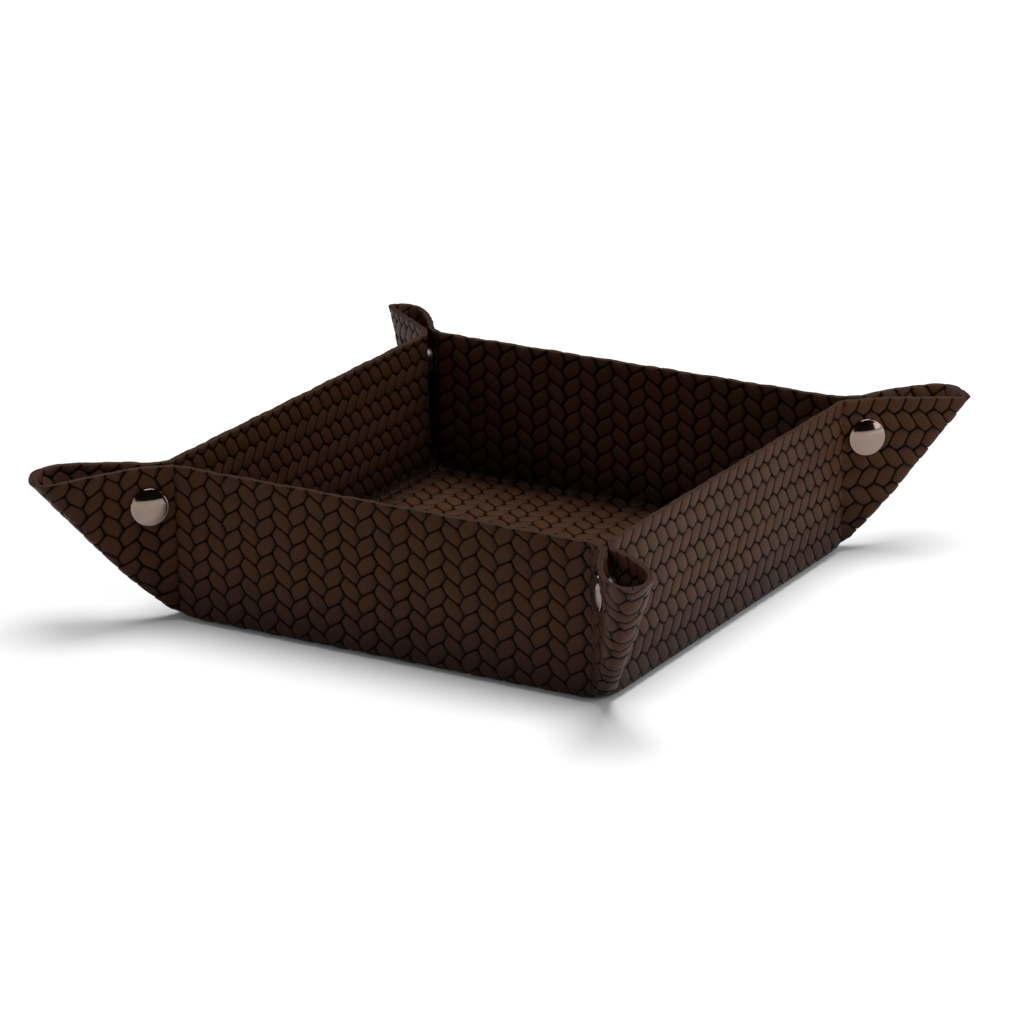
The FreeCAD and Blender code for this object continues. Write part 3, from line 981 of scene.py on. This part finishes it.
def lathe(name, profile, finish):
    """Spins a closed profile of (radius, height) points round the upright axis."""
    solid = bmesh.new()
    rings = []
    for radius, height in profile:
        count = TURN_STEPS if radius > 0 else 1
        turn = 2 * math.pi / count
        ring = [(radius * math.cos(i * turn), radius * math.sin(i * turn), height) for i in range(count)]
        rings.append([solid.verts.new(Vector(point) * MM) for point in ring])
    closed = rings if profile[0][0] == 0 else rings + rings[:1]
    for low, high in zip(closed, closed[1:]):
        for i in range(TURN_STEPS):
            places = ((low, i), (high, i), (high, i + 1), (low, i + 1))
            solid.faces.new(dict.fromkeys(ring[k % len(ring)] for ring, k in places))
    bmesh.ops.recalc_face_normals(solid, faces=solid.faces[:])
    mesh = bpy.data.meshes.new(name)
    solid.to_mesh(mesh)
    solid.free()
    mesh.polygons.foreach_set("use_smooth", np.ones(len(mesh.polygons), bool))
    mesh.set_sharp_from_angle(angle=TURNED_SMOOTH_ANGLE)
    mesh.materials.append(finish)
    piece = bpy.data.objects.new(name, mesh)
    bpy.context.scene.collection.objects.link(piece)
    return piece


def seat(piece, turns, side, lift):
    """Stands a turned piece on a flap of an ear, lift millimetres from the ear's middle plane."""
    way = 1 if side else -1
    middle = INNER_HALF + SNAP_REACH / math.sqrt(2)
    shift = way * lift / math.sqrt(2)
    spot = turned(np.array([[middle + shift, -middle + shift]]), turns)[0]
    facing = turned(np.array([[way, way]], float), turns)[0]
    upright = Vector((*facing, 0)).to_track_quat("Z", "Y").to_matrix().to_4x4()
    piece.matrix_world = Matrix.Translation(Vector((*spot, SNAP_LEVEL)) * MM) @ upright


OUTSIDE = HALF_THROAT + SHEET
for turns, corner in enumerate(CORNERS):
    side = CAP_SIDE[corner]
    snap_pieces = [
        ("cap", cap_profile, NICKEL, side, OUTSIDE, "cap"),
        ("socket", socket_profile, STEEL, side, HALF_THROAT, "fastener"),
        ("stud", stud_profile, STEEL, 1 - side, HALF_THROAT, "fastener"),
        ("post", post_profile, NICKEL, 1 - side, OUTSIDE, "fastener"),
    ]
    for part, profile, finish, flap_side, lift, slot in snap_pieces:
        piece = lathe(f"{corner}_snap_{part}_turned", profile(), finish)
        seat(piece, turns, flap_side, lift)
        wall_name = WALLS[(turns + flap_side) % len(WALLS)]
        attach(piece, f"{corner}_ear_{wall_name}_flap")
        settle(piece, f"{corner}_snap_{part}")

# %% [markdown]
# ## Floor and light
#
# The tray stands on a white floor under a wide, soft light straight above it, so its shadow stays
# close to its foot. A panel close by on the right makes the right wall the palest, and a weak light
# from the front left fills the front. The far lights are suns with a large angle, which light the
# whole tray alike, and the panel is an area lamp, whose light falls off across the tray. The floor is
# white to the camera and in reflections, but darker to light that bounces, as a small sweep in a
# dark room would be, and the metal sees that dark room above the horizon.

# %% Studio
FLOOR_SIZE, FLOOR_GAP = 30.0, 0.0002
FLOOR_WHITE, FLOOR_BOUNCE = 0.98, 0.28


def add_floor():
    mesh = bpy.data.meshes.new("floor")
    reach = FLOOR_SIZE / 2
    corners = [(-reach, -reach, 0), (reach, -reach, 0), (reach, reach, 0), (-reach, reach, 0)]
    mesh.from_pydata(corners, [], [(0, 1, 2, 3)])
    floor = bpy.data.objects.new("floor", mesh)
    bpy.context.scene.collection.objects.link(floor)
    material, nodes, links, shader = new_material("floor")
    nodes.remove(shader)
    seen = add_node(nodes, "ShaderNodeBsdfDiffuse", Color=(*grey(FLOOR_WHITE), 1))
    bounce = add_node(nodes, "ShaderNodeBsdfDiffuse", Color=(*grey(FLOOR_BOUNCE), 1))
    links.new(
        mixed(nodes, links, direct_look(nodes, links), bounce.outputs[0], seen.outputs[0]),
        nodes["Material Output"].inputs["Surface"],
    )
    mesh.materials.append(material)
    floor.location.z = -FLOOR_GAP
    return floor


def direct_look(nodes, links):
    """1 for rays from the camera, reflections and clear glass, 0 for bounced light."""
    path = nodes.new("ShaderNodeLightPath")
    total = path.outputs["Is Camera Ray"]
    for name in ("Is Glossy Ray", "Is Transmission Ray"):
        total = math_node(nodes, links, "MAXIMUM", total, path.outputs[name])
    return total


def mixed(nodes, links, factor, first, second):
    mix = nodes.new("ShaderNodeMixShader")
    links.new(factor, mix.inputs[0])
    links.new(first, mix.inputs[1])
    links.new(second, mix.inputs[2])
    return mix.outputs[0]


def add_lamp(kind, name, place, energy, **settings):
    """A lamp at a place in metres, turned to the middle of the floor."""
    lamp = bpy.data.lights.new(name, kind)
    lamp.energy = energy
    for setting, value in settings.items():
        setattr(lamp, setting, value)
    holder = bpy.data.objects.new(name, lamp)
    holder.location = place
    holder.rotation_mode = "QUATERNION"
    holder.rotation_quaternion = (-Vector(place)).to_track_quat("-Z", "Y")
    bpy.context.scene.collection.objects.link(holder)
    print("lamp:", name, kind, energy)


def light_world(strength, room):
    """Even light from all round, with a dark room for reflections."""
    world = bpy.data.worlds.new("studio")
    world.use_nodes = True
    bpy.context.scene.world = world
    nodes, links = world.node_tree.nodes, world.node_tree.links
    even = add_node(nodes, "ShaderNodeBackground", Color=(1, 1, 1, 1), Strength=strength)
    dark = add_node(nodes, "ShaderNodeBackground", Color=(1, 1, 1, 1), Strength=room)
    path = nodes.new("ShaderNodeLightPath")
    links.new(
        mixed(nodes, links, path.outputs["Is Glossy Ray"], even.outputs[0], dark.outputs[0]),
        nodes["World Output"].inputs["Surface"],
    )


add_floor()
add_lamp("SUN", "ceiling", (0.0, 0.2, 1.0), 2.65, angle=math.radians(40))
add_lamp("AREA", "side", (0.6, 0.16, 0.24), 1.2, size=0.4)
add_lamp("SUN", "front", (-0.7, -1.0, 0.45), 0.22, angle=math.radians(20))
light_world(strength=0.22, room=0.01)
bpy.context.scene.view_settings.view_transform = "Standard"
